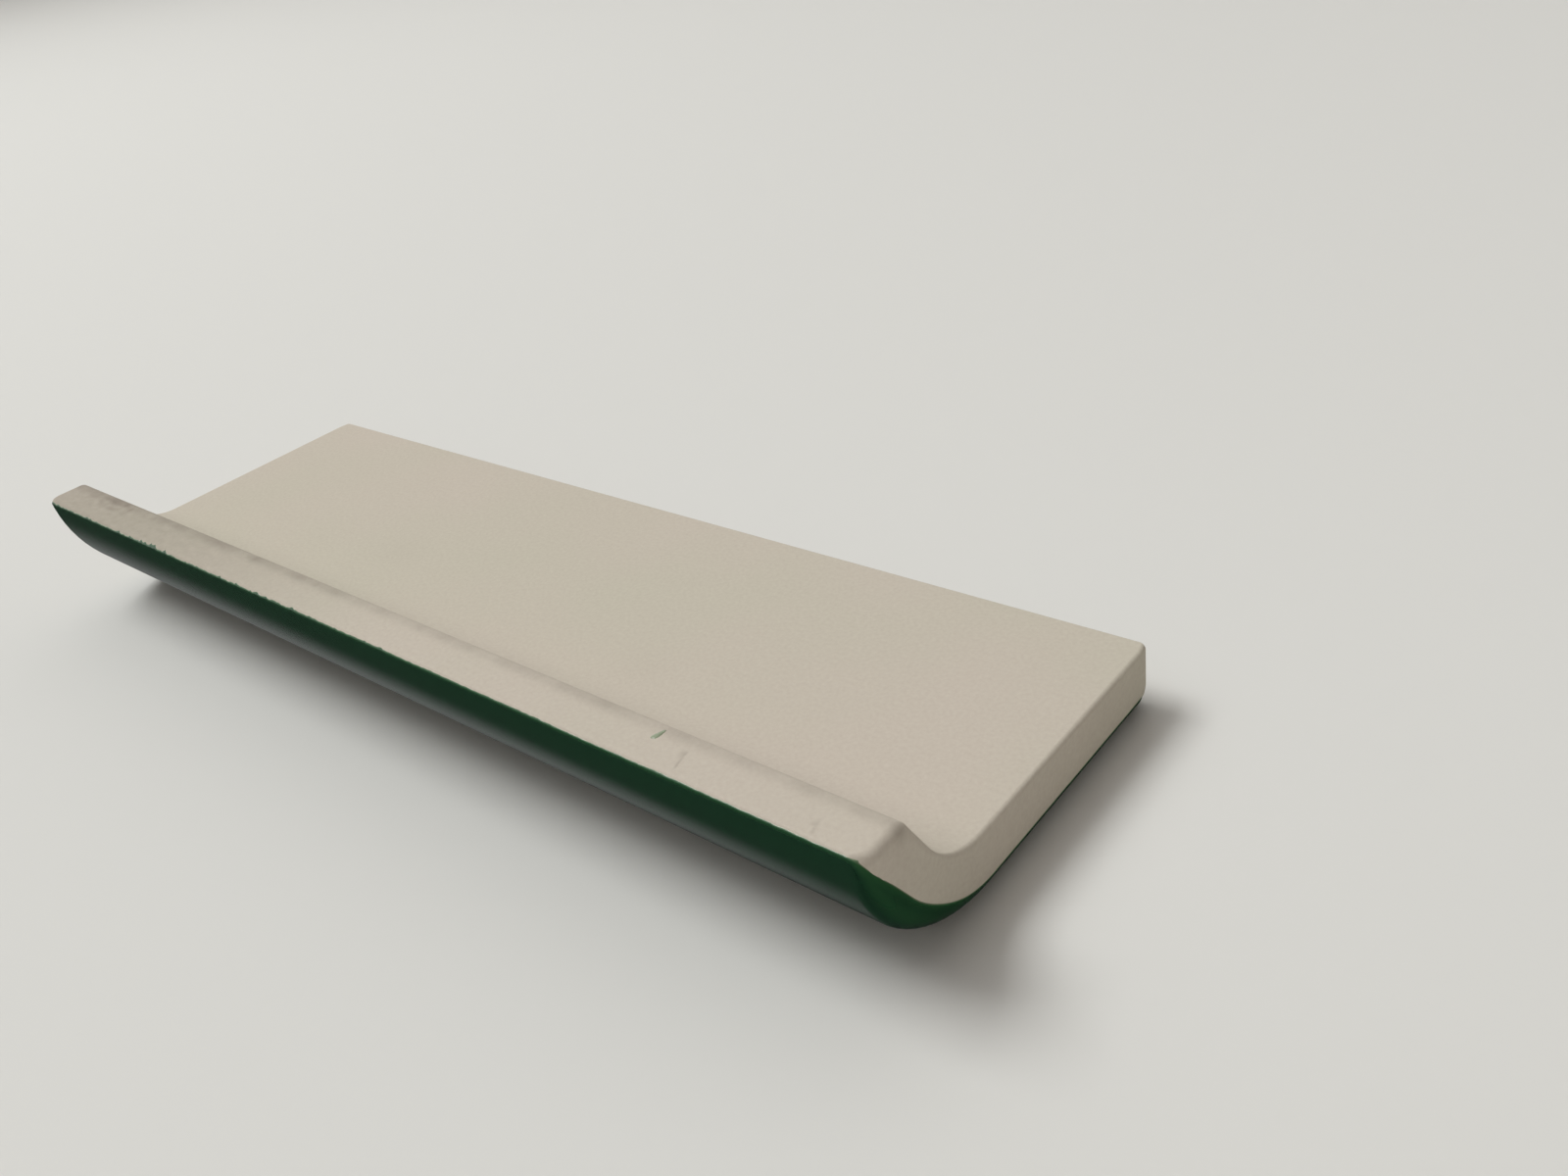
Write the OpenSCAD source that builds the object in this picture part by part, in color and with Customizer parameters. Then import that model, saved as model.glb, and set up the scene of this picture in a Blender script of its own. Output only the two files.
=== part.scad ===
// Ceramic edge-trim tile lying on its glazed face, with its bare back up.
// X runs along the tile, Y from the lip to the far edge, and Z up out of the back.
// The origin is at the middle of the underside of the box round the tile.

/* [Tile] */
// Length of the tile, over the glaze
tile_l = 152.4; // [60:0.1:305]
// Width from the outside of the lip to the far edge, over the glaze
tile_w = 50.8; // [42:0.1:110]
// Height from the glazed face to the top of the lip
tile_h = 18.6; // [18.4:0.1:20]
// Thickness of the flat part
slab_t = 8.5; // [5:0.1:11]

/* [Nose and lip] */
// Radius of the rounded nose, outside the glaze
nose_r = 18.1; // [17:0.1:18.3]
// Width of the lip's flat top, before its edges are rounded
lip_top_w = 5.7; // [4:0.1:8]
// Slope of the lip's inner face from upright, in degrees
lip_slope = 29; // [5:1:38]
// Radius of the cove where the lip meets the flat back
cove_r = 9.3; // [3:0.1:11]
// Rounding of the lip's outer top edge
lip_outer_r = 0.7; // [0.3:0.1:1.2]
// Rounding of the lip's inner top edge
lip_inner_r = 1.2; // [0.3:0.1:2]

/* [Edges] */
// Radius of the arris along the face at both ends
end_arris_r = 3.4; // [1.5:0.1:3.6]
// How much wider than the nose the end arris turns, so that it fades out towards the lip
arris_fade = 2.5; // [2.3:0.1:3.4]
// How far the end arris stops short of a true tangent with the face
arris_short = 0.1; // [0.05:0.01:0.2]
// Radius of the arris along the face at the far edge
far_arris_r = 1; // [0.5:0.1:2]
// Rounding of the far top edge
back_edge_r = 0.6; // [0.2:0.1:1.5]
// Rounding of the upright corners at the lip
lip_corner_r = 2.4; // [0.8:0.1:4]
// Rounding of the upright corners at the far edge
far_corner_r = 1.3; // [0.8:0.1:4]

/* [Glaze] */
// Thickness of the glaze
glaze_t = 0.3; // [0.2:0.05:0.5]
// Length of the stray fleck of glaze on the lip
fleck_l = 2; // [1.2:0.1:4]
// Width of the fleck
fleck_w = 0.7; // [0.5:0.1:1]
// Height of the fleck
fleck_t = 0.12; // [0.08:0.01:0.3]
// Place of the fleck along the tile, from its middle
fleck_x = 49; // [-60:1:60]
// Place of the fleck across the lip, from its outer face
fleck_y = 4; // [1.5:0.1:4.2]
// Angle of the fleck to the tile's length, in degrees
fleck_turn = 75; // [0:5:175]

/* [Hidden] */
$fn = 96;
clay_colour = "#BFB9AB";
glaze_colour = "#1D3A28";
over = 2;                                         // how far a cutter runs past what it cuts
lip_foot_y = lip_top_w + (tile_h - slab_t) * tan(lip_slope);
arris_sweep_r = nose_r + arris_fade;              // radius that the end arris turns at
arris_axis_z = arris_sweep_r - arris_short;       // height of the axis that it turns about
glaze_edge_z = end_arris_r - arris_short;         // the glaze climbs to here on the ends and the far edge
glaze_top_z = tile_h - lip_outer_r;               // and to here on the outside of the lip
fleck_outline = [                                  // an uneven splash, one unit long and one unit wide
    [-0.5, 0.1], [-0.42, -0.35], [-0.1, -0.5], [0.22, -0.28], [0.44, -0.3],
    [0.5, 0.05], [0.3, 0.5], [0, 0.3], [-0.3, 0.46]];

// Turns a section drawn in Y and Z into a bar along X, centred on X
module along_x(length) rotate([90, 0, 90]) linear_extrude(length, center = true) children();

// What a rounding of radius r leaves outside it at a sharp corner.
// The corner is at p, and its two edges leave p in the directions a and a + turn.
module corner_patch(p, a, turn, r) {
    reach = r / tan(turn / 2);
    middle = p + r / sin(turn / 2) * [cos(a + turn / 2), sin(a + turn / 2)];
    difference() {
        polygon([p, p + reach * [cos(a), sin(a)], middle, p + reach * [cos(a + turn), sin(a + turn)]]);
        translate(middle) circle(r);
    }
}

// Outside of the section: flat face, rounded nose and square top, inset on its outer sides
module outer_section(inset) {
    difference() {
        translate([inset, inset]) square([tile_w - 2 * inset, tile_h - inset]);
        corner_patch([inset, inset], 0, 90, nose_r - inset);
        corner_patch([tile_w - inset, inset], 90, 90, far_arris_r - inset);
    }
}

// What the section leaves open behind the lip, down to the flat back
module open_section() {
    difference() {
        polygon([
            [lip_top_w - over * tan(lip_slope), tile_h + over],
            [lip_foot_y, slab_t],
            [tile_w + over, slab_t],
            [tile_w + over, tile_h + over]
        ]);
        corner_patch([lip_foot_y, slab_t], 0, 90 + lip_slope, cove_r);
    }
}

// Whole section of the tile, with the lip's top edges and the far top edge rounded
module tile_section(inset) {
    difference() {
        outer_section(inset);
        open_section();
        corner_patch([inset, tile_h], 270, 90, lip_outer_r);
        corner_patch([lip_top_w, tile_h], 180, 90 + lip_slope, lip_inner_r);
        corner_patch([tile_w - inset, slab_t], 180, 90, back_edge_r);
    }
}

// Outline of the tile's length against its depth, with an arris at each end
module end_outline(inset) {
    depth = arris_sweep_r - inset;
    half_l = tile_l / 2 - inset;
    difference() {
        translate([0, -half_l]) square([depth, 2 * half_l]);
        for (side = [-1, 1]) scale([1, side])
            corner_patch([depth, half_l], 180, 90, end_arris_r - inset);
    }
}

// Block that rounds the ends: straight along the flat part, and turned about its axis at the nose
module end_block(inset) {
    translate([0, nose_r, arris_axis_z]) rotate([0, 90, 0]) {
        rotate([0, 0, 270]) rotate_extrude(angle = 90) end_outline(inset);
        rotate([-90, 0, 0]) linear_extrude(tile_w - nose_r + over) mirror([0, 1]) end_outline(inset);
    }
}

// Plan of the tile with its four corners rounded
module plan_block(inset) {
    size = [tile_l / 2 - inset, tile_w / 2 - inset];
    translate([0, tile_w / 2, -over]) linear_extrude(tile_h + 2 * over) difference() {
        square(2 * size, center = true);
        for (side = [-1, 1]) scale([side, 1]) {
            corner_patch([size.x, -size.y], 90, 90, lip_corner_r - inset);
            corner_patch(size, 180, 90, far_corner_r - inset);
        }
    }
}

// The tile's shape, inset on every side but its back
module tile_shape(inset) {
    intersection() {
        along_x(tile_l) tile_section(inset);
        end_block(inset);
        plan_block(inset);
    }
}

// What lies above the glaze line on the ends, the far edge and the lip
module bare_zone() {
    along_x(tile_l + over) {
        intersection() {
            translate([nose_r, arris_axis_z]) circle(arris_sweep_r - end_arris_r);
            square([nose_r, arris_axis_z]);
        }
        translate([nose_r, glaze_edge_z]) square([tile_w, tile_h]);
        translate([-over, glaze_top_z]) square([tile_w, tile_h]);
    }
}

// Pressed and fired body of the tile: full size where it is bare, inset under the glaze
module clay_body() {
    color(clay_colour) translate([0, -tile_w / 2, 0]) {
        tile_shape(glaze_t);
        intersection() {
            tile_shape(0);
            bare_zone();
        }
    }
}

// Glaze fused over the face, the nose and the arrises, flush with the bare clay at its edge
module glaze_coat() {
    color(glaze_colour) translate([0, -tile_w / 2, 0]) difference() {
        tile_shape(0);
        tile_shape(glaze_t);
        bare_zone();
    }
}

// A splash of glaze on the bare top of the lip: a thin patch with an uneven outline
module stray_glaze_fleck() {
    color(glaze_colour) translate([fleck_x, fleck_y - tile_w / 2, tile_h]) rotate([0, 0, fleck_turn])
        linear_extrude(fleck_t) scale([fleck_l, fleck_w]) polygon(fleck_outline);
}

clay_body();
glaze_coat();
stray_glaze_fleck();
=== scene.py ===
"""A glazed ceramic edge-trim tile, lying on its glazed face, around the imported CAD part.

The tile's section is drawn in Y and Z and the tile runs along X. Lengths are in millimetres until
add_piece() turns them to metres. In the section, y is measured from the outer face of the lip.
"""
import math

import bpy
import numpy as np
from mathutils import Matrix, Vector, noise


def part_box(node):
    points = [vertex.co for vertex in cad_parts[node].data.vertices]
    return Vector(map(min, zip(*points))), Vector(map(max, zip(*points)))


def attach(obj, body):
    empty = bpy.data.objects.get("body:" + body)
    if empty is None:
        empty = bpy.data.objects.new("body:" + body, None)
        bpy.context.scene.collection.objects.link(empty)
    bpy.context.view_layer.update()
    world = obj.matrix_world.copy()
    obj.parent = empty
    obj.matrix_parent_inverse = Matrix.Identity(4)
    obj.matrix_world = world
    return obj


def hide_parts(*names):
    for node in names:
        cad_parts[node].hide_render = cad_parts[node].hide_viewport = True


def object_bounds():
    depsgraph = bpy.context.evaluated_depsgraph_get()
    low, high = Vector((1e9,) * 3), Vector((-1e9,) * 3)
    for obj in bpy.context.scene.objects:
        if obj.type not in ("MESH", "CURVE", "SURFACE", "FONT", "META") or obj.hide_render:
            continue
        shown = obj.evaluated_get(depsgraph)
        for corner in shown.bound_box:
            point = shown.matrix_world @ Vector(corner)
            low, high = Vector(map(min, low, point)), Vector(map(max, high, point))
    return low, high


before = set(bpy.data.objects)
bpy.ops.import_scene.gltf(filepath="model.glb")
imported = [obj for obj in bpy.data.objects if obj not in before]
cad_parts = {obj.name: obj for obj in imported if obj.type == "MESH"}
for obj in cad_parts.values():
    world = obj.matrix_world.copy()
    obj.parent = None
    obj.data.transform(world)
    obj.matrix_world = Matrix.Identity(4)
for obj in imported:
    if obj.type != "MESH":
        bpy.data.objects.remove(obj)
cad_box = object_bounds()

MM = 0.001

# ---------------------------------------------------------------- sizes, in millimetres
LENGTH = (cad_box[1].x - cad_box[0].x) / MM
WIDTH = (cad_box[1].y - cad_box[0].y) / MM
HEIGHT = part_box("clay_body")[1].z / MM
SLAB_T = 8.5              # thickness of the flat part
NOSE_R = 18.1             # rounded front of the glazed face
LIP_TOP_W = 5.7           # flat top of the lip
LIP_SLOPE = math.radians(29)   # the lip's inner face leans this far from upright
COVE_R = 9.3              # hollow where the lip meets the back
LIP_OUTER_R = HEIGHT - NOSE_R
LIP_INNER_R = 1.2
FAR_ARRIS_R = 1.0         # glazed edge at the far side
BACK_EDGE_R = 0.6         # soft edge all round the bare back
LIP_END_R = 1.1           # the same edge at the ends of the lip
LIP_END_Z = (12.0, 17.0)  # it changes to the lip's size between these heights
ROLL_IN = (3.8, 1.8)      # rolled end arris, inwards from the glazed face: under the nose, at the lip
ROLL_ALONG = (2.15, 2.0)  # the same arris, along the tile
ROLL_Z = (6.0, 18.0)      # it changes from the first size to the second between these heights
FAR_CORNER_R = 1.4        # upright corner at the far side, seen from above
GLAZE_T = 0.3
GLAZE_REACH = (2.1, 3.1)  # how far it reaches in over the end roll: under the flat face, round the nose
GLAZE_REACH_Z = (8.0, 18.6)    # between these heights it dies out towards the lip's top
NOSE_TURN = 0.75          # radians round the nose, from below, at which it has its second size
FAR_LOSS = 0.74           # it reaches this much less far in for each millimetre up the far edge
LEAST_REACH = 0.3
FAR_TOP_OF_GLAZE = 1.3    # the glaze climbs this far up the far edge
SINK = 0.05               # the bare clay lies this far inside the CAD surface
EDGE_LAP = 0.2            # under the glaze it starts to sink deeper this far inside the glaze's edge,
LIP_LAP = 0.45            # or this far below the lip's top,
SINK_OVER = 0.9           # and is at its full depth this much farther in
BARE_TILT = 0.72          # a surface whose outward direction rises more than this is part of the bare back
HAIR = 0.01               # a hair's breadth, to tell places apart
FAR_AWAY = 99.0           # a distance to an edge that isn't near

# corner of the section: (y, z, rounding, 1 for a corner or -1 for a hollow), in order round it
CORNERS = {
    "lip_outer": (0, HEIGHT, LIP_OUTER_R, 1),
    "nose": (0, 0, NOSE_R, 1),
    "far_bottom": (WIDTH, 0, FAR_ARRIS_R, 1),
    "far_top": (WIDTH, SLAB_T, BACK_EDGE_R, 1),
    "lip_foot": (LIP_TOP_W + (HEIGHT - SLAB_T) * math.tan(LIP_SLOPE), SLAB_T, COVE_R, -1),
    "lip_inner": (LIP_TOP_W, HEIGHT, LIP_INNER_R, 1),
}
CORNER_ORDER = list(CORNERS)


# ---------------------------------------------------------------- the section
def unit(v):
    """The direction of a vector, at length 1."""
    return v / np.linalg.norm(v)


def smooth(t):
    """0 to 1 with a soft start and end."""
    t = np.clip(t, 0, 1)
    return t * t * (3 - 2 * t)


def bend(name, share, steps):
    """Points and outward directions over a share of one corner's rounding."""
    i = CORNER_ORDER.index(name)
    before = np.array(CORNERS[CORNER_ORDER[i - 1]][:2])
    after = np.array(CORNERS[CORNER_ORDER[(i + 1) % len(CORNERS)]][:2])
    corner, radius, sign = np.array(CORNERS[name][:2]), CORNERS[name][2], CORNERS[name][3]
    to_before, to_after = unit(before - corner), unit(after - corner)
    half = math.acos(to_before @ to_after) / 2
    centre = corner + unit(to_before + to_after) * radius / math.sin(half)
    start = unit(corner + to_before * radius / math.tan(half) - centre)
    end = unit(corner + to_after * radius / math.tan(half) - centre)
    across = unit(end - start * (start @ end))
    turn = (math.pi - 2 * half) * np.linspace(share[0], share[1], steps + 1)[:, None]
    away = start * np.cos(turn) + across * np.sin(turn)
    return centre + radius * away, away * sign


def side(names, bend_steps, straight_steps):
    """One side of the section, from the middle of its first corner to the middle of its last."""
    points, outward = [], []
    for i, name in enumerate(names):
        share = (0.5 if i == 0 else 0, 0.5 if i == len(names) - 1 else 1)
        p, n = bend(name, share, bend_steps[i])
        if i and straight_steps[i - 1]:
            t = np.linspace(0, 1, straight_steps[i - 1] + 1)[1:-1, None]
            points.append(points[-1][-1] + (p[0] - points[-1][-1]) * t)
            outward.append(np.repeat(n[:1], len(t), 0))
        elif i:
            p, n = p[1:], n[1:]
        points.append(p)
        outward.append(n)
    return np.concatenate(points), np.concatenate(outward)


def by_height(sizes, z, heights):
    """Changes smoothly from the first size to the second between two heights."""
    return sizes[0] + (sizes[1] - sizes[0]) * np.clip((z - heights[0]) / (heights[1] - heights[0]), 0, 1)


def rounding(depth, reach, drop):
    """How far a rounded edge has dropped, at a depth inside it: drop at 0, nothing from reach on."""
    u = np.clip(1 - depth / reach, 0, 1)
    return drop * (1 - np.sqrt(1 - u * u))


def end_x(y, z):
    """Half the tile's length at a place in the section, where the end rolls over to the glazed face."""
    nose = NOSE_R - np.hypot(np.minimum(y - NOSE_R, 0), np.minimum(z - NOSE_R, 0))
    depth = np.where(z >= NOSE_R, y, np.where(y >= NOSE_R, z, nose))
    lost = rounding(depth, by_height(ROLL_IN, z, ROLL_Z), by_height(ROLL_ALONG, z, ROLL_Z))
    return LENGTH / 2 - lost - rounding(WIDTH - y, FAR_CORNER_R, FAR_CORNER_R)


def glaze_reach(points):
    """How far in from the glazed face the glaze reaches on the end, for each point of the section."""
    below = np.clip(NOSE_R - points[:, 1], HAIR, None)
    round_nose = np.arctan2(np.clip(NOSE_R - points[:, 0], 0, None), below)
    reach = GLAZE_REACH[0] + (GLAZE_REACH[1] - GLAZE_REACH[0]) * smooth(round_nose / NOSE_TURN)
    # it turns the far corner level, so it reaches less far in where it climbs the far edge
    reach = reach - FAR_LOSS * points[:, 1] * (points[:, 0] > WIDTH - FAR_ARRIS_R)
    up = np.clip((points[:, 1] - GLAZE_REACH_Z[0]) / (GLAZE_REACH_Z[1] - GLAZE_REACH_Z[0]), 0, 1)
    return np.clip(reach * (1 - up**2), LEAST_REACH, None)


def end_section(points, outward):
    """A section with, for each point: where it ends up on the end face, its bare edge, and its reach."""
    edge = by_height((BACK_EDGE_R, LIP_END_R), points[:, 1], LIP_END_Z)
    rolled = by_height(ROLL_IN, points[:, 1], ROLL_Z)
    in_cove = (points[:, 0] > LIP_TOP_W) & (outward[:, 1] > 0)
    bare = (outward[:, 1] > BARE_TILT) | (points[:, 0] > WIDTH - HAIR) | in_cove
    reach = np.where(bare, edge, rolled)
    ended = points - outward * reach[:, None]
    # the far side: the roll under the end runs out into the small upright corner
    far = points[:, 0] > WIDTH - FAR_ARRIS_R
    low = np.clip(1 - points[:, 1] / (SLAB_T - BACK_EDGE_R), 0, 1) ** 2
    far_end = points - np.clip(outward, 0, None) * BACK_EDGE_R
    far_end[:, 1] += ROLL_IN[0] * low
    ended[far] = far_end[far]
    reach[far] = ROLL_IN[0]
    # the lip's top: the end face keeps its corner inside the two edges
    flat_end = LIP_TOP_W - LIP_INNER_R * math.tan(math.pi / 4 - LIP_SLOPE / 2)
    top = (points[:, 1] > HEIGHT - LIP_OUTER_R - HAIR / 10) & (points[:, 0] < flat_end)
    ended[top, 0] = points[top, 0] + ROLL_IN[1] * (1 - points[top, 0] / flat_end)
    ended[top, 1] = points[top, 1] - LIP_END_R
    front = ~top & (points[:, 0] < NOSE_R) & (outward[:, 0] < 0)
    up = (points[front, 1] - LIP_END_Z[0]) / (HEIGHT - LIP_OUTER_R - LIP_END_Z[0])
    ended[front, 1] -= LIP_END_R * np.clip(up, 0, 1) ** 2
    return points, outward, ended, edge * np.clip(outward[:, 1], 0, 1), reach


def ring(section, turn, depth, end_sign):
    """The section carried round the end, from turn 0 where the roll starts to 90 degrees where it ends."""
    points, outward, ended, along, _ = section
    c, s = np.cos(turn), np.sin(turn)
    yz = points + (ended - points) * np.reshape(1 - c, (-1, 1))
    x = end_x(yz[:, 0], yz[:, 1]) - along * (1 - s) - depth * s
    return np.column_stack([end_sign * x, yz - outward * np.reshape(depth * c, (-1, 1))])


def clay_depth(section, turn):
    """How far inside the CAD surface the clay lies: deeper where the glaze covers it."""
    points, outward, _, _, reach = section
    from_lip = np.where(points[:, 0] < NOSE_R, HEIGHT - LIP_LAP - points[:, 1], FAR_AWAY)
    at_far = points[:, 0] > WIDTH - 3 * FAR_ARRIS_R
    from_far = np.where(at_far, FAR_TOP_OF_GLAZE - EDGE_LAP - points[:, 1], FAR_AWAY)
    from_end = glaze_reach(points) - EDGE_LAP - reach * (1 - np.cos(turn))
    nearest = np.minimum(np.minimum(from_lip, from_far), from_end)
    inside = np.where(outward[:, 1] < HAIR, nearest, 0)
    return SINK + GLAZE_T * smooth(inside / SINK_OVER)


# ---------------------------------------------------------------- mesh helpers
def add_piece(name, points_mm, faces, material):
    """A mesh from points in section coordinates, moved into the row frame, shaded smooth."""
    mesh = bpy.data.meshes.new(name)
    points = np.array(points_mm, float)
    points[:, 1] -= WIDTH / 2
    mesh.from_pydata((points * MM).tolist(), [], faces)
    mesh.validate()
    mesh.update()
    piece = bpy.data.objects.new(name, mesh)
    bpy.context.scene.collection.objects.link(piece)
    mesh.polygons.foreach_set("use_smooth", [True] * len(mesh.polygons))
    mesh.materials.append(material)
    weighted = piece.modifiers.new("even_shading", "WEIGHTED_NORMAL")
    weighted.weight = 60
    return piece


def add_values(piece, name, values):
    """A number at each vertex, for the material to read."""
    attribute = piece.data.attributes.new(name, "FLOAT", "POINT")
    attribute.data.foreach_set("value", np.asarray(values, np.float32))


def grid_faces(rows, columns, start=0, closed=False, flip=False):
    """Quads of a rows by columns grid of vertices. A closed grid joins its last column to its first."""
    faces = []
    for r in range(rows - 1):
        for c in range(columns if closed else columns - 1):
            a, b = start + r * columns + c, start + r * columns + (c + 1) % columns
            quad = (a, b, b + columns, a + columns)
            faces.append(quad[::-1] if flip else quad)
    return faces


def wander(x, scale, seed, octaves=3):
    """A smooth repeatable wobble from -1 to 1 along a line, one bump about every scale millimetres."""
    return noise.fractal(Vector((x / scale, seed * 7.31, seed * 3.17)), 0.6, 2.1, octaves)


# ---------------------------------------------------------------- colour and nodes
def linear(hex_colour):
    """An sRGB hex colour as linear RGBA."""
    channels = [int(hex_colour[i : i + 2], 16) / 255 for i in (1, 3, 5)]
    return tuple(c / 12.92 if c <= 0.04045 else ((c + 0.055) / 1.055) ** 2.4 for c in channels) + (1,)


def add_node(tree, kind, settings=None, inputs=None, links=None, stops=()):
    """Adds a node, sets its properties, inputs and (position, colour) stops, and links sockets into it."""
    node = tree.nodes.new(kind)
    for i, (position, colour) in enumerate(stops):
        element = node.color_ramp.elements[i] if i < 2 else node.color_ramp.elements.new(1)
        element.position = position
        element.color = linear(colour)
    for key, value in (settings or {}).items():
        setattr(node, key, value)
    for key, value in (inputs or {}).items():
        node.inputs[key].default_value = value
    for key, socket in (links or {}).items():
        tree.links.new(socket, node.inputs[key])
    return node


def new_material(name):
    """An empty material with its node tree."""
    material = bpy.data.materials.new(name)
    material.use_nodes = True
    material.node_tree.nodes.clear()
    return material, material.node_tree


# ---------------------------------------------------------------- materials
def biscuit_clay():
    """Pressed dust-clay biscuit, fired and unglazed: chalky, warm off-white, no shine, very fine grain."""
    material, tree = new_material("biscuit_clay_pressed_unglazed")
    place = add_node(tree, "ShaderNodeTexCoord").outputs["Object"]
    # broad change of firing colour over about 40 mm
    firing = add_node(tree, "ShaderNodeTexNoise", inputs={"Scale": 1 / (40 * MM), "Detail": 2},
                      links={"Vector": place}).outputs["Fac"]
    body = add_node(tree, "ShaderNodeValToRGB", links={"Fac": firing},
                    stops=[(0.3, "#C4BDAD"), (0.7, "#C8BDB0")]).outputs["Color"]
    # clay grit is 0.1 mm or finer; drawn at 0.5 mm so that it shows
    grit = add_node(tree, "ShaderNodeTexNoise",
                    inputs={"Scale": 1 / (0.5 * MM), "Detail": 3, "Roughness": 0.6},
                    links={"Vector": place}).outputs["Fac"]
    grained = add_node(tree, "ShaderNodeMix", {"data_type": "RGBA", "blend_type": "OVERLAY"},
                       {0: 0.12}, {6: body, 7: grit}).outputs[2]
    # soil and painted shade: real smudges, scratches and grime, plus painted shade along the lip's inner
    # edge and towards its left end, all mixed towards one dark colour
    soil_and_shade = add_node(tree, "ShaderNodeAttribute", {"attribute_name": "soil_and_shade"}).outputs["Fac"]
    soiled_and_shaded = add_node(tree, "ShaderNodeMix", {"data_type": "RGBA"}, {7: linear("#6E6258")},
                      {0: soil_and_shade, 6: grained}).outputs[2]
    bump = add_node(tree, "ShaderNodeBump", inputs={"Strength": 0.25, "Distance": 0.05 * MM},
                    links={"Height": grit}).outputs["Normal"]
    shader = add_node(tree, "ShaderNodeBsdfPrincipled",
                      inputs={"Roughness": 0.92, "IOR": 1.5, "Specular IOR Level": 0.25},
                      links={"Base Color": soiled_and_shaded, "Normal": bump}).outputs["BSDF"]
    add_node(tree, "ShaderNodeOutputMaterial", links={"Surface": shader})
    return material


def bottle_green_glaze():
    """Gloss glaze, dipped and fired: deep bottle green where thick, brighter and paler where it thins."""
    material, tree = new_material("bottle_green_gloss_glaze_fired")
    place = add_node(tree, "ShaderNodeTexCoord").outputs["Object"]
    depth = add_node(tree, "ShaderNodeAttribute", {"attribute_name": "glaze_depth"}).outputs["Fac"]
    # the glaze pools and thins in patches of about 3 mm
    pools = add_node(tree, "ShaderNodeTexNoise", inputs={"Scale": 1 / (3 * MM), "Detail": 1},
                     links={"Vector": place}).outputs["Fac"]
    patchy = add_node(tree, "ShaderNodeMath", {"operation": "MULTIPLY_ADD"}, {1: 0.12},
                      {0: pools, 2: depth}).outputs[0]
    # the pale clay shows through at the thin edge; the last two stops lie between the first two
    colour = add_node(tree, "ShaderNodeValToRGB", links={"Fac": patchy},
                      stops=[(0.0, "#A3AB90"), (1.0, "#163626"), (0.3, "#2F5837"), (0.7, "#1B3D29")])
    # fired glaze settles in waves of about 5 mm, a few thousandths of a millimetre deep
    waves = add_node(tree, "ShaderNodeTexNoise", inputs={"Scale": 1 / (5 * MM), "Detail": 1},
                     links={"Vector": place}).outputs["Fac"]
    bump = add_node(tree, "ShaderNodeBump", inputs={"Strength": 0.3, "Distance": 0.03 * MM},
                    links={"Height": waves}).outputs["Normal"]
    shader = add_node(tree, "ShaderNodeBsdfPrincipled",
                      inputs={"Roughness": 0.12, "IOR": 1.5},
                      links={"Base Color": colour.outputs["Color"], "Normal": bump}).outputs["BSDF"]
    add_node(tree, "ShaderNodeOutputMaterial", links={"Surface": shader})
    return material


# ---------------------------------------------------------------- pieces
ARRIS_STEPS = 12          # round each end's roll
BODY_STEPS = 200          # along the tile
SMUDGES = ((27.7, 20.5), (-25.6, 24.8))    # two faint marks on the back, along and across
SMUDGE_SIZE = (4.0, 3.0)
HAIRLINES = ((53.5, 2.4, 0.30), (69.8, 1.9, 0.20))    # middle of each fine scratch on the lip, and strength
HAIRLINE_W = 0.13
HAIRLINE_LEAN = 0.26      # how far a scratch goes sideways for each millimetre across the lip
HAIRLINE_HALF = 1.6       # half its length
HAIRLINE_SPAN, HAIRLINE_STEPS = 1.4, 28    # extra stations along the tile that draw it sharply
EDGE_SHADE_Y, EDGE_SHADE_W = 5.0, 0.8   # painted shade along the lip's inner edge, where its rounding turns away from the light
DARKEST_SHADE_X, DARKEST_SHADE_W = -24.0, 12.0    # the stretch where that painted shade is darkest
GRUBBY_AT, GRUBBY_SIZE = (-62.0, 4.3), (5.0, 1.2)    # a grubby patch near the lip's left end


def tile_sections():
    """The four sides of the section, for the clay."""
    face = side(["lip_outer", "nose", "far_bottom"], [5, 27, 6], [0, 20])
    far = side(["far_bottom", "far_top"], [6, 5], [20])
    back = side(["far_top", "lip_foot", "lip_inner"], [5, 16, 6], [23, 8])
    lip = side(["lip_inner", "lip_outer"], [6, 5], [20])
    return face, far, back, lip


def spot(distance, size):
    """1 in the middle of a mark, fading away softly over about twice its size."""
    return math.exp(-((distance / size) ** 2))


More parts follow.
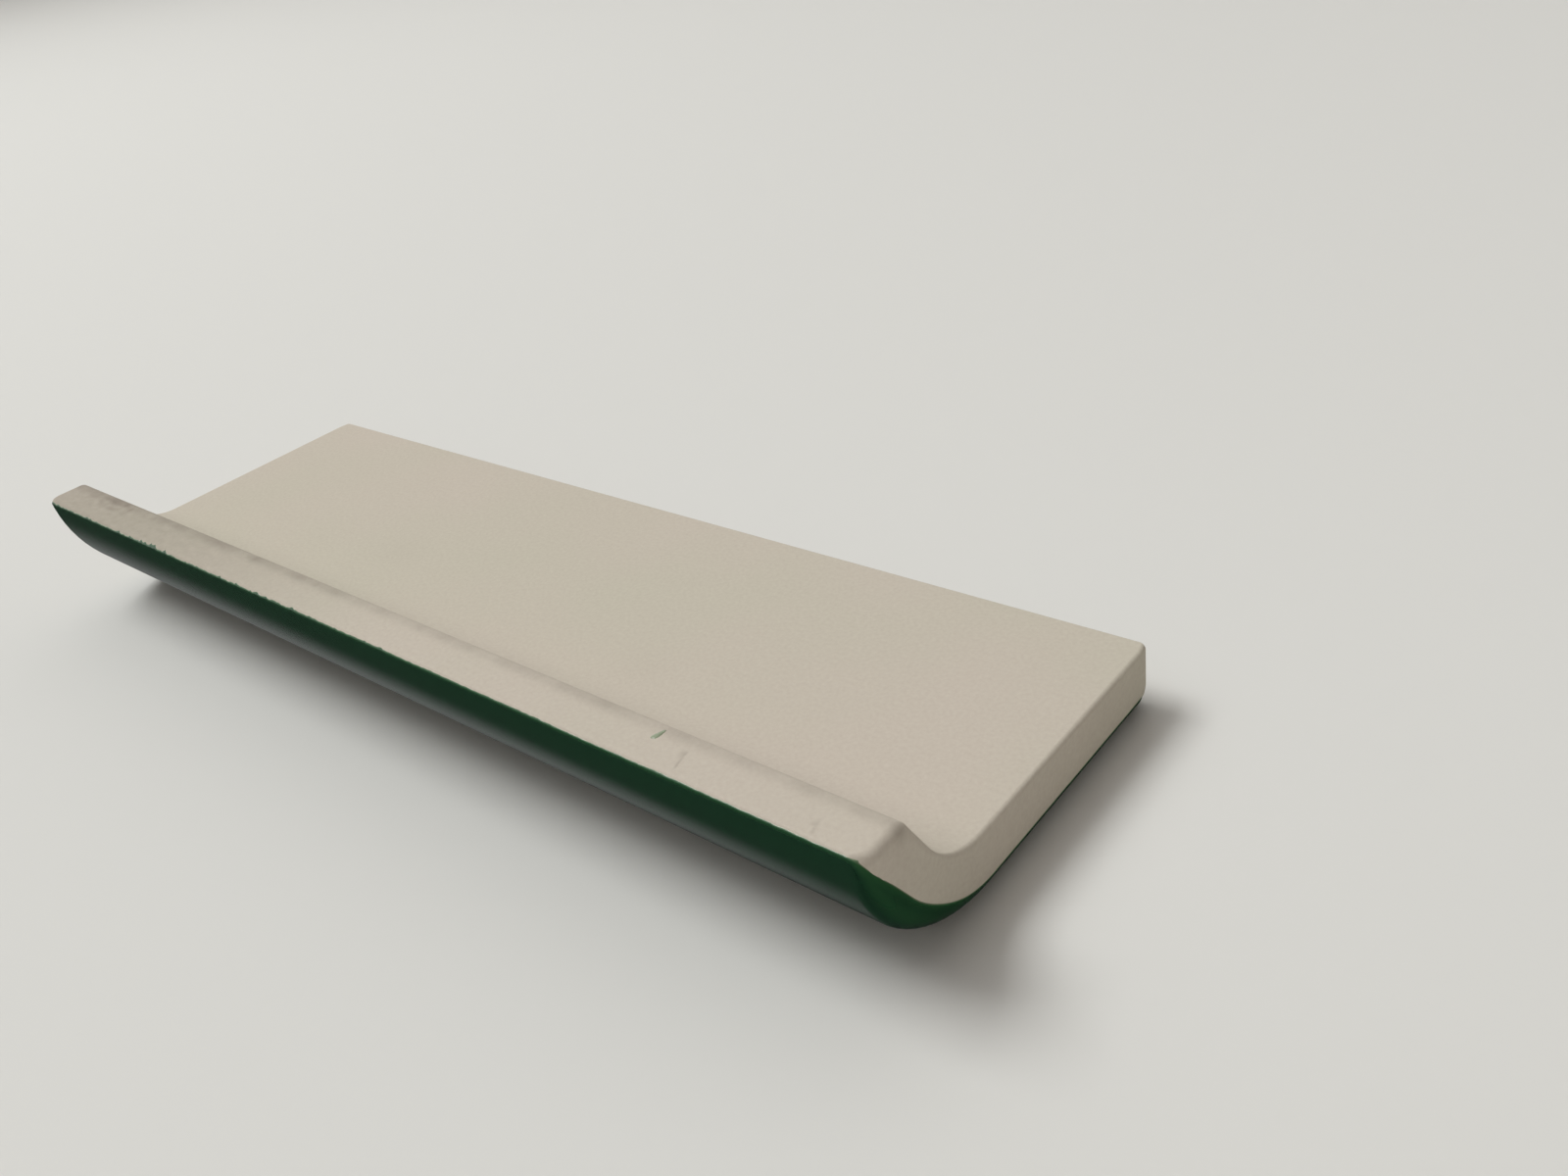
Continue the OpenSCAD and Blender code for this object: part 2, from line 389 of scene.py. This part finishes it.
def soil_and_shade_at(x, y, z):
    """How dirty the bare clay is at a point, with painted shade added along the lip's inner edge and
    towards its left end, 0 to 1. Each mark's strength is a share of the full dark colour.
    """
    on_lip = float(smooth((z - HEIGHT + 3.0) / 2.5))
    mottle = noise.noise(Vector((x / 1.3, y / 0.9, 3.0)))
    smudged = 0.03 * sum(spot(x - u, SMUDGE_SIZE[0]) * spot(y - v, SMUDGE_SIZE[1]) for u, v in SMUDGES)
    # painted shade: a soft, broken dark band along the lip's inner edge, where its rounding turns away from
    # the light
    edge_shade = spot(y - EDGE_SHADE_Y, EDGE_SHADE_W) * (0.24 + 0.10 * spot(x - DARKEST_SHADE_X, DARKEST_SHADE_W))
    edge_shade *= 0.8 + 0.5 * wander(x, 3, 5)
    # painted shade: greyer towards the left end, where the light falls off; and grubby close to it
    left_shade = 0.36 * float(smooth((12 - x) / 70)) * (0.9 + 0.3 * mottle)
    grubby = spot(x - GRUBBY_AT[0], GRUBBY_SIZE[0]) * spot(y - GRUBBY_AT[1], GRUBBY_SIZE[1])
    grubby *= 0.12 * (1 + 2 * mottle)
    scratches = 0
    for middle_x, middle_y, strength in HAIRLINES:
        across = x - middle_x + HAIRLINE_LEAN * (y - middle_y)
        ends = float(smooth((HAIRLINE_HALF - abs(y - middle_y)) / 0.6))
        scratches += strength * spot(across, HAIRLINE_W) * ends
    return min(1.0, max(0.0, smudged + on_lip * (edge_shade + left_shade + grubby + scratches)))


def end_cap(vertices, base, counts, end_sign):
    """Closes an end with a grid stretched between the four sides of the ring that starts at base."""
    corners = np.cumsum([0] + counts)
    rows, columns = counts[0] + 1, counts[1] + 1
    index = [base + np.arange(corners[k], corners[k + 1] + 1) % corners[-1] for k in range(4)]
    low, far, high, lip = index[0], index[1], index[2][::-1], index[3][::-1]
    u = np.linspace(0, 1, rows)[:, None, None]
    v = np.linspace(0, 1, columns)[None, :, None]
    a, b = vertices[low][:, None, 1:], vertices[high][:, None, 1:]
    c, d = vertices[lip][None, :, 1:], vertices[far][None, :, 1:]
    flat = (1 - v) * a + v * b + (1 - u) * c + u * d
    flat -= (1 - u) * ((1 - v) * a[:1] + v * b[:1]) + u * ((1 - v) * a[-1:] + v * b[-1:])
    inner = flat[1:-1, 1:-1].reshape(-1, 2)
    x = end_sign * (end_x(inner[:, 0], inner[:, 1]) - SINK)
    numbers = np.zeros((rows, columns), int)
    numbers[:, 0], numbers[:, -1], numbers[0], numbers[-1] = low, high, lip, far
    numbers[1:-1, 1:-1] = len(vertices) + np.arange(len(inner)).reshape(rows - 2, columns - 2)
    faces = []
    for r in range(rows - 1):
        for q in range(columns - 1):
            around = numbers[r, q], numbers[r + 1, q], numbers[r + 1, q + 1], numbers[r, q + 1]
            quad = [int(n) for n in around]
            faces.append(quad if end_sign > 0 else quad[::-1])
    return np.concatenate([vertices, np.column_stack([x, inner])]), faces


def clay_body(material):
    """The clay: rings of the section from the left end to the right one, and a cap on each end."""
    sides = tile_sections()
    points = np.concatenate([p[:-1] for p, _ in sides])
    outward = np.concatenate([n[:-1] for _, n in sides])
    counts = [len(p) - 1 for p, _ in sides]
    section = end_section(points, outward)

    turns = np.linspace(math.pi / 2, 0, ARRIS_STEPS + 1)
    rings = [ring(section, turn, clay_depth(section, turn), -1) for turn in turns]
    left, right = rings[-1], ring(section, 0, clay_depth(section, 0), 1)
    stations = np.linspace(0, 1, BODY_STEPS + 1)[1:-1]
    for x, _, _ in HAIRLINES:
        middle = 0.5 + x / (LENGTH - 2 * ROLL_ALONG[0])
        close = np.linspace(-0.5, 0.5, HAIRLINE_STEPS + 1) * HAIRLINE_SPAN / LENGTH
        stations = np.concatenate([stations, middle + close])
    rings += [left + (right - left) * share for share in np.sort(stations)]
    rings += [ring(section, turn, clay_depth(section, turn), 1) for turn in turns[::-1]]

    vertices = np.concatenate(rings)
    faces = grid_faces(len(rings), len(points), closed=True)
    for first_ring, end_sign in ((0, -1), (len(rings) - 1, 1)):
        vertices, cap = end_cap(vertices, first_ring * len(points), counts, end_sign)
        faces += cap
    piece = add_piece("clay_body_pressed", vertices, faces, material)
    add_values(piece, "soil_and_shade", [soil_and_shade_at(*v) for v in vertices])
    return piece


GLAZE_COLUMNS = 420       # along the tile, fine enough for the teeth at its upper edge
GLAZE_ROWS = 43           # round the section, between its two edge bands
EDGE_ROWS = 12
EDGE_BAND = 1.2           # the rows are closer together this near the edge
LEDGE = 1.5               # the glaze's section is drawn from this far in on the lip's top,
SPARE = 0.5               # to this far past its far edge, which leaves room for the teeth
EDGE_START = 0.1          # its upper edge runs about this far below the middle of the lip's outer corner
MOST_CLIMB = (1.0, 0.4)   # a tooth goes no farther than this past the edge, at the lip and at the far side
NEAR_END = 2.0            # round an end, the edge keeps the teeth that it has this far from the end
END_STEPS = 20            # round each end's roll
BEAD = 0.35               # the coat swells to its full thickness over this distance from its edge
PALE_BAND = 0.9           # and has its full colour this far from it


def glaze_section(offsets):
    """Points of the glazed side at these distances along it, from the middle of the lip's outer corner."""
    face = side(["lip_outer", "nose", "far_bottom"], [24, 120, 12], [0, 40])
    up_p, up_n = bend("far_bottom", (0.5, 1), 12)
    rise = np.array([[WIDTH, z] for z in np.linspace(FAR_ARRIS_R, FAR_TOP_OF_GLAZE + SPARE, 6)[1:]])
    over_p, over_n = bend("lip_outer", (0, 0.5), 12)
    ledge = np.array([[y, HEIGHT] for y in np.linspace(LEDGE, over_p[0, 0], 8)[:-1]])
    points = np.concatenate([ledge, over_p[:-1], face[0], up_p[1:], rise])
    outward = np.concatenate([np.repeat([[0.0, 1.0]], len(ledge), 0), over_n[:-1], face[1], up_n[1:],
                              np.repeat([[1.0, 0.0]], len(rise), 0)])
    walked = np.concatenate([[0], np.cumsum(np.linalg.norm(np.diff(points, axis=0), axis=1))])
    walked -= walked[len(ledge) + len(over_p) - 1]
    p = np.column_stack([np.interp(offsets, walked, points[:, k]) for k in (0, 1)])
    n = np.column_stack([np.interp(offsets, walked, outward[:, k]) for k in (0, 1)])
    return p, n / np.linalg.norm(n, axis=1)[:, None], walked


def ragged(rows, total, x):
    """The rows' places round the section at one place along the tile, shifted into teeth at both edges."""
    # the teeth at the lip are coarser and deeper towards the left end
    left = float(smooth((30 - x) / 70))
    teeth = (0.05 + 0.13 * left) * wander(x, 0.9, 1) + 0.06 * wander(x, 6, 2)
    teeth += 0.8 * left * max(0, wander(x, 1.6, 3) - 0.25)
    far_teeth = 0.12 * wander(x, 2.5, 4)
    at_lip = np.clip(1 - rows / EDGE_BAND, 0, 1)
    at_far = np.clip(1 - (total - rows) / EDGE_BAND, 0, 1)
    shift = far_teeth * at_far - teeth * at_lip
    return np.clip(rows + EDGE_START + shift, -MOST_CLIMB[0], total + MOST_CLIMB[1])


def glaze_coat(material):
    """The thin coat on the glazed face, the nose and the rolled ends, thinning to nothing at its edge."""
    total = glaze_section(np.array([0.0]))[2][-1] - SPARE
    near = np.linspace(0, EDGE_BAND, EDGE_ROWS + 1)
    between = np.linspace(EDGE_BAND, total - EDGE_BAND, GLAZE_ROWS + 1)[1:-1]
    rows = np.concatenate([near, between, total - near[::-1]])

    # columns: round the left end, along the tile, and round the right end
    turns = np.linspace(math.pi / 2, 0, END_STEPS + 1)
    columns = [("turn", t, -1) for t in turns]
    columns += [("along", i / GLAZE_COLUMNS, 0) for i in range(1, GLAZE_COLUMNS)]
    columns += [("turn", t, 1) for t in turns[::-1]]

    outer, inner, thick = [], [], []
    for kind, value, end_sign in columns:
        at_end = kind == "turn"
        x_here = end_sign * (LENGTH / 2 - NEAR_END) if at_end else (value - 0.5) * (LENGTH - 2 * NEAR_END)
        turn = value if at_end else 0
        p, n, _ = glaze_section(ragged(rows, total, x_here))
        section = end_section(p, n)
        inward = glaze_reach(p) * (1 - math.cos(turn))
        turn_here = np.arccos(np.clip(1 - inward / section[4], 0, 1))
        distance = np.minimum(rows, total - rows)
        if at_end:
            distance = np.minimum(distance, (math.pi / 2 - turn) * glaze_reach(p))
        bead = np.sqrt(np.clip(1 - (1 - np.clip(distance / BEAD, 0, 1)) ** 2, 0, 1))
        out_depth = SINK * (1 - bead)
        in_depth = clay_depth(section, turn_here) + HAIR
        for store, depth in ((outer, out_depth), (inner, in_depth)):
            if at_end:
                loop = ring(section, turn_here, depth, end_sign)
            else:
                left, right = ring(section, turn_here, depth, -1), ring(section, turn_here, depth, 1)
                loop = left + (right - left) * value
            store.append(loop)
        # it looks thinner about an end's sharpest turn
        thinned = 1 - 0.45 * spot(turn - 1.0, 0.45) if at_end else 1.0
        thick.append(np.clip(distance / PALE_BAND, 0, 1) ** 0.6 * thinned)

    across, down = len(columns), len(rows)
    vertices = np.concatenate(outer + inner)
    faces = grid_faces(across, down)
    faces += grid_faces(across, down, start=across * down, flip=True)
    rim = [c * down for c in range(across)] + [(across - 1) * down + r for r in range(1, down)]
    rim += [c * down + down - 1 for c in range(across - 2, -1, -1)] + list(range(down - 2, 0, -1))
    for a, b in zip(rim, rim[1:] + rim[:1]):
        faces.append((a, b, b + across * down, a + across * down))
    piece = add_piece("glaze_coat_fired", vertices, faces, material)
    add_values(piece, "glaze_depth", np.concatenate(thick + thick))
    return piece


FLECK_R = (1.0, 0.42)     # half its length and half its width
FLECK_LEAN = math.radians(75)    # its long side, from the tile's length
FLECK_SPOKES, FLECK_HOOPS = 40, 8
FLECK_FOOT = 0.02         # how far it goes into the clay


def stray_fleck(material):
    """A thin splash of glaze left on the bare lip: a low dome with an uneven rim."""
    low, high = (np.array(corner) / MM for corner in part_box("stray_glaze_fleck"))
    middle = (low + high) / 2
    # the rim starts on the sunk clay and the dome rises to half of the CAD fleck's height
    ground, rise = low[2] - SINK, (high[2] - low[2]) * 0.5 + SINK
    vertices = []
    for h in range(FLECK_HOOPS + 1):
        share = (h + 0.5) / (FLECK_HOOPS + 0.5)
        for s in range(FLECK_SPOKES):
            angle = 2 * math.pi * s / FLECK_SPOKES
            uneven = 0.18 * wander(math.cos(angle) * 2 + 5, 0.7, 11) + 0.12 * math.sin(3 * angle + 1)
            reach = share * (0.82 + uneven)
            a, b = FLECK_R[0] * reach * math.cos(angle), FLECK_R[1] * reach * math.sin(angle)
            x = middle[0] + a * math.cos(FLECK_LEAN) - b * math.sin(FLECK_LEAN)
            y = middle[1] + a * math.sin(FLECK_LEAN) + b * math.cos(FLECK_LEAN) + WIDTH / 2
            vertices.append((x, y, ground + rise * (1 - share**2)))
    faces = grid_faces(FLECK_HOOPS + 1, FLECK_SPOKES, closed=True, flip=True)
    rim, foot = FLECK_HOOPS * FLECK_SPOKES, len(vertices)
    vertices += [(x, y, ground - FLECK_FOOT) for x, y, _ in vertices[rim:]]
    for s in range(FLECK_SPOKES):
        t = (s + 1) % FLECK_SPOKES
        faces.append((rim + s, foot + s, foot + t, rim + t))
    faces.append(tuple(range(foot + FLECK_SPOKES - 1, foot - 1, -1)))
    faces.append(tuple(range(FLECK_SPOKES)))
    piece = add_piece("glaze_fleck_splashed", vertices, faces, material)
    add_values(piece, "glaze_depth", np.zeros(len(vertices)))
    return piece


clay = biscuit_clay()
glaze = bottle_green_glaze()
for build, finish, node, slot in ((clay_body, clay, "clay_body", "biscuit_clay"),
                                  (glaze_coat, glaze, "glaze_coat", "green_glaze"),
                                  (stray_fleck, glaze, "stray_glaze_fleck", "green_glaze")):
    piece = build(finish)
    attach(piece, "root")
    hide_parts(node)


# ---------------------------------------------------------------- studio
def studio_floor():
    """A wide pale floor that sweeps up into a pale wall all round."""
    material, tree = new_material("matt_white_board_painted")
    shader = add_node(tree, "ShaderNodeBsdfPrincipled",
                      inputs={"Base Color": linear("#DEDCD8"), "Roughness": 0.9,
                              "Specular IOR Level": 0.1})
    add_node(tree, "ShaderNodeOutputMaterial", links={"Surface": shader.outputs["BSDF"]})
    flat_r, sweep_r, wall = 3000.0, 1500.0, 1500.0
    profile = [(0.001, 0.0), (flat_r, 0.0)]
    profile += [(flat_r + sweep_r * math.sin(a), sweep_r * (1 - math.cos(a)))
                for a in np.linspace(0, math.pi / 2, 17)[1:]]
    profile.append((flat_r + sweep_r, sweep_r + wall))
    spokes = 96
    angles = [2 * math.pi * s / spokes for s in range(spokes)]
    vertices = [(r * math.cos(a), r * math.sin(a) + WIDTH / 2, z) for r, z in profile for a in angles]
    faces = grid_faces(len(profile), spokes, closed=True, flip=True)
    floor = add_piece("studio_floor", vertices, faces, material)
    floor.modifiers.clear()
    # the glaze mirrors the room below it instead: dark in front, with a pale card at the left
    floor.visible_glossy = False


ROOM_GLOW = 0.95          # brightness of the room on the left; it falls off to the right
RIGHT_SHARE = 0.14        # what is left of it at the far right
DARK_GLOW = 0.03          # below the horizon
CARD_GLOW = 0.19          # brightness of the pale card low on the left


def studio_light():
    """One large soft light overhead, a little to the front and left, and a soft room."""
    lamp = bpy.data.lights.new("overhead_softbox", "AREA")
    lamp.shape = "RECTANGLE"
    lamp.size, lamp.size_y = 1.2, 1.0
    lamp.energy = 34
    lamp.color = (0.97, 1.0, 1.0)
    holder = bpy.data.objects.new("overhead_softbox", lamp)
    bpy.context.scene.collection.objects.link(holder)
    holder.location = (-1.2, -0.45, 2.0)
    aim = Vector((0, 0, 0)) - holder.location
    holder.rotation_euler = aim.to_track_quat("-Z", "Y").to_euler()
    world = bpy.data.worlds.new("soft_room")
    bpy.context.scene.world = world
    world.use_nodes = True
    tree = world.node_tree
    tree.nodes.clear()
    way = add_node(tree, "ShaderNodeSeparateXYZ",
                   links={0: add_node(tree, "ShaderNodeTexCoord").outputs["Generated"]})

    # above the horizon a bright room, dimmer to the right; below it, dark but for a pale card on the left.
    # each fade: its axis, where it starts and ends, and what it is at the two
    fades = {
        "room": ("Z", -0.35, 0.05, DARK_GLOW, ROOM_GLOW),
        "dimmer_right": ("X", -0.5, 0.5, 1, RIGHT_SHARE),
        "card": ("X", -0.1, -0.7, 0, CARD_GLOW),
        "card_front": ("Y", -0.25, 0.08, 0, 1),
        "card_back": ("Y", 0.15, 0.5, 1, 0),
        "warmer_right": ("X", -0.4, 0.8, 0, 1),
    }
    at = {}
    for name, (axis, start, end, first, last) in fades.items():
        at[name] = add_node(tree, "ShaderNodeMapRange", {"interpolation_type": "SMOOTHSTEP"},
                            {"From Min": start, "From Max": end, "To Min": first, "To Max": last},
                            {"Value": way.outputs[axis]}).outputs["Result"]
    times = {"operation": "MULTIPLY"}
    room = add_node(tree, "ShaderNodeMath", times, links={0: at["room"], 1: at["dimmer_right"]})
    card = add_node(tree, "ShaderNodeMath", times, links={0: at["card"], 1: at["card_front"]})
    card = add_node(tree, "ShaderNodeMath", times, links={0: card.outputs[0], 1: at["card_back"]})
    glow = add_node(tree, "ShaderNodeMath", {"operation": "MAXIMUM"},
                    links={0: room.outputs[0], 1: card.outputs[0]}).outputs[0]
    warmth = add_node(tree, "ShaderNodeMix", {"data_type": "RGBA"},
                      {6: linear("#FAFBFA"), 7: linear("#FFF0E6")}, {0: at["warmer_right"]}).outputs[2]
    back = add_node(tree, "ShaderNodeBackground", links={"Color": warmth, "Strength": glow})
    add_node(tree, "ShaderNodeOutputWorld", links={"Surface": back.outputs[0]})


def camera():
    """A close, wide view down over the right end, from the lip's side."""
    data = bpy.data.cameras.new("camera")
    data.lens, data.sensor_width = 29.841, 36
    data.clip_start, data.clip_end = 0.005, 50
    holder = bpy.data.objects.new("camera", data)
    bpy.context.scene.collection.objects.link(holder)
    forward = Vector((-0.5955913, 0.6131289, -0.5189835)).normalized()
    up = Vector((-0.2326507, 0.4867215, 0.8420070)).normalized()
    right = forward.cross(up)
    turn = Matrix((right, up, -forward)).transposed().to_4x4()
    holder.matrix_world = Matrix.Translation((0.127996, -0.0824876, 0.0921499)) @ turn
    bpy.context.scene.camera = holder


studio_floor()
studio_light()
camera()
bpy.context.scene.view_settings.view_transform = "Standard"
